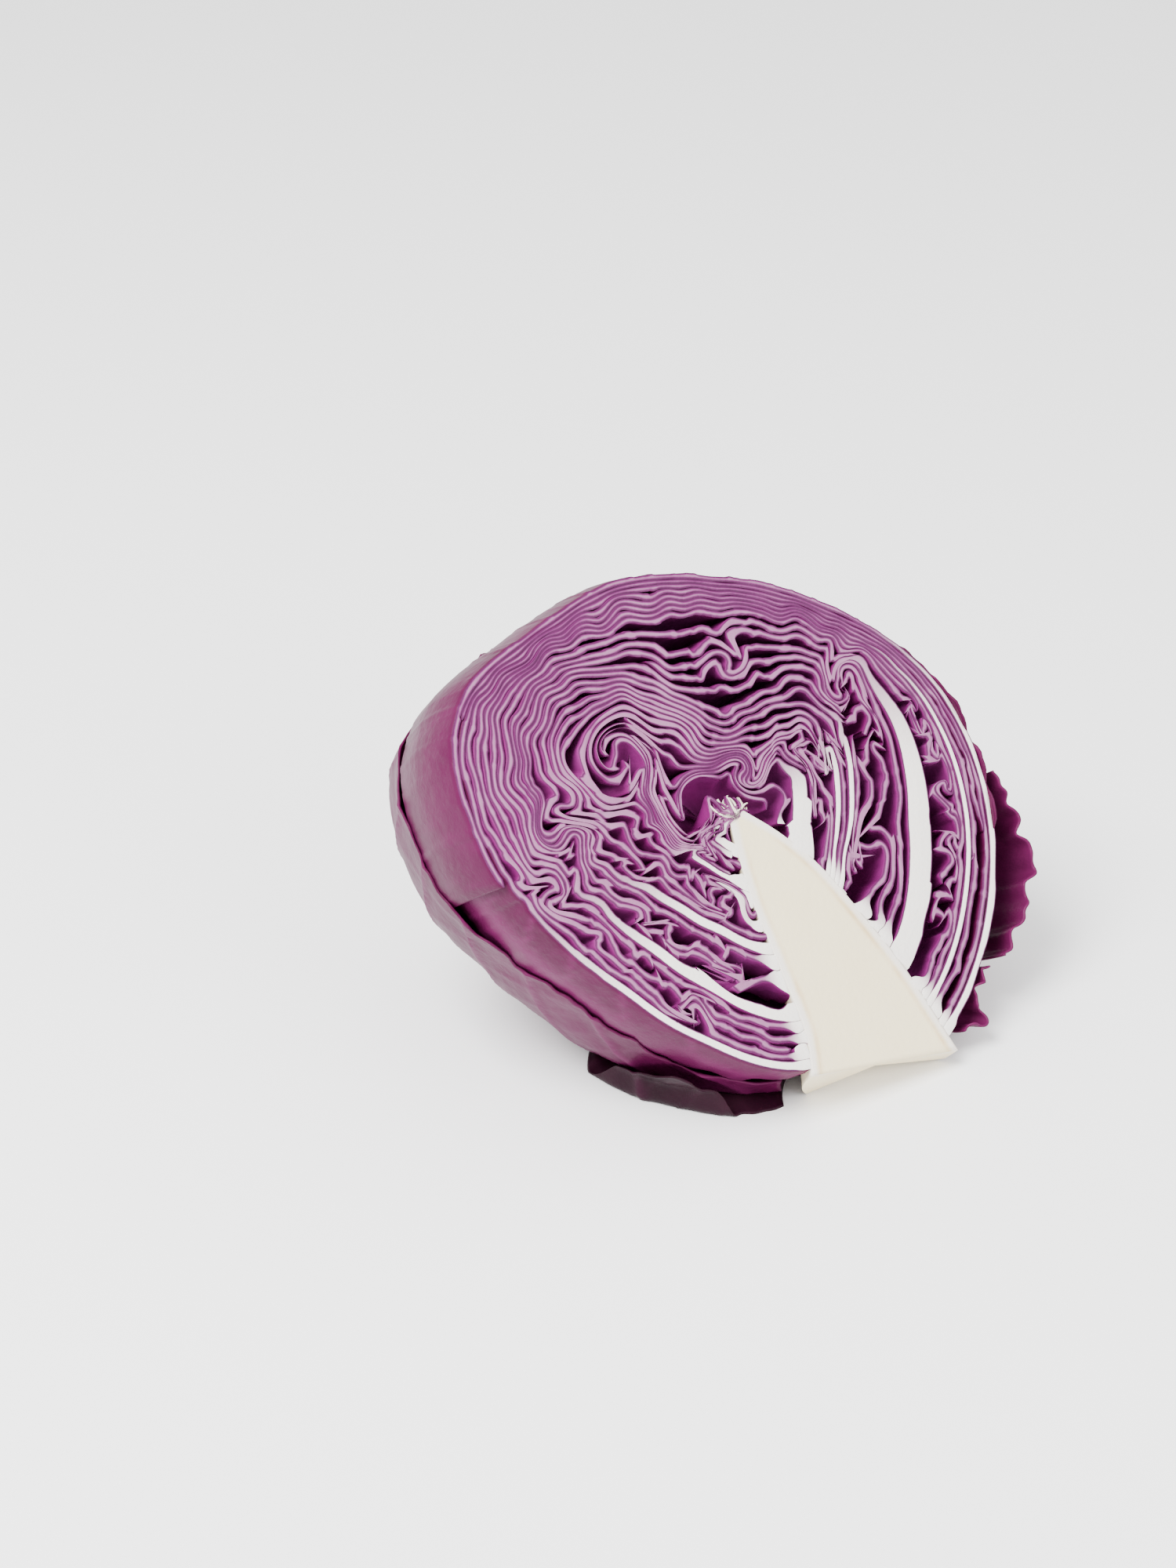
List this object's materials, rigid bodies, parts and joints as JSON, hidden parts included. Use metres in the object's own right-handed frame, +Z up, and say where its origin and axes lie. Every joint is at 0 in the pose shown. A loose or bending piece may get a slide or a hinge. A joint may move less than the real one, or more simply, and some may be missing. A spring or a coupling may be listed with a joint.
{
  "type": "red cabbage half",
  "caption": "Half of a red cabbage, cut lengthwise: tightly nested folded leaves round a pale tapering core, with a domed leafy back that rests on a flattened spot.",
  "frame": {"origin": "middle of the outline in plan, on the surface that the half rests on", "axes": "+Z up as it rests; the cut face looks up, towards -Y and somewhat towards +X; the stem's cut end is towards -Y and the top of the head leans back and to -X"},
  "size_m": [0.1812, 0.1328, 0.1268],
  "materials": {
    "core": "moist cut flesh",
    "inner_leaf": "moist cut leaf, satin",
    "outer_leaf": "waxy leaf, satin"
  },
  "bodies": {
    "root": {"core": "core", "bud": "core", "tip_leaf_left": "inner_leaf", "tip_leaf_back": "inner_leaf", "tip_leaf_right": "inner_leaf", "heart_leaf_1": "inner_leaf", "heart_leaf_2": "inner_leaf", "heart_leaf_3": "inner_leaf", "heart_leaf_4": "inner_leaf", "arched_leaf_left": "inner_leaf", "inner_leaf_1": "inner_leaf", "inner_leaf_2": "inner_leaf", "inner_leaf_3": "inner_leaf", "inner_leaf_4": "inner_leaf", "middle_leaf_left": "inner_leaf", "inner_leaf_5": "inner_leaf", "inner_leaf_6": "inner_leaf", "inner_leaf_7": "inner_leaf", "middle_leaf_right": "inner_leaf", "inner_leaf_8": "inner_leaf", "lower_leaf_left": "inner_leaf", "inner_leaf_9": "inner_leaf", "inner_leaf_10": "inner_leaf", "lower_leaf_right": "inner_leaf", "inner_leaf_11": "inner_leaf", "outer_leaf_left": "outer_leaf", "outer_leaf_back": "outer_leaf", "outer_leaf_right": "outer_leaf", "wrapper_leaf_right": "outer_leaf", "wrapper_leaf_left": "outer_leaf", "wrapper_leaf_base": "outer_leaf", "frilled_leaf_right": "outer_leaf", "curled_leaf_right": "outer_leaf"}
  },
  "joints": []
}
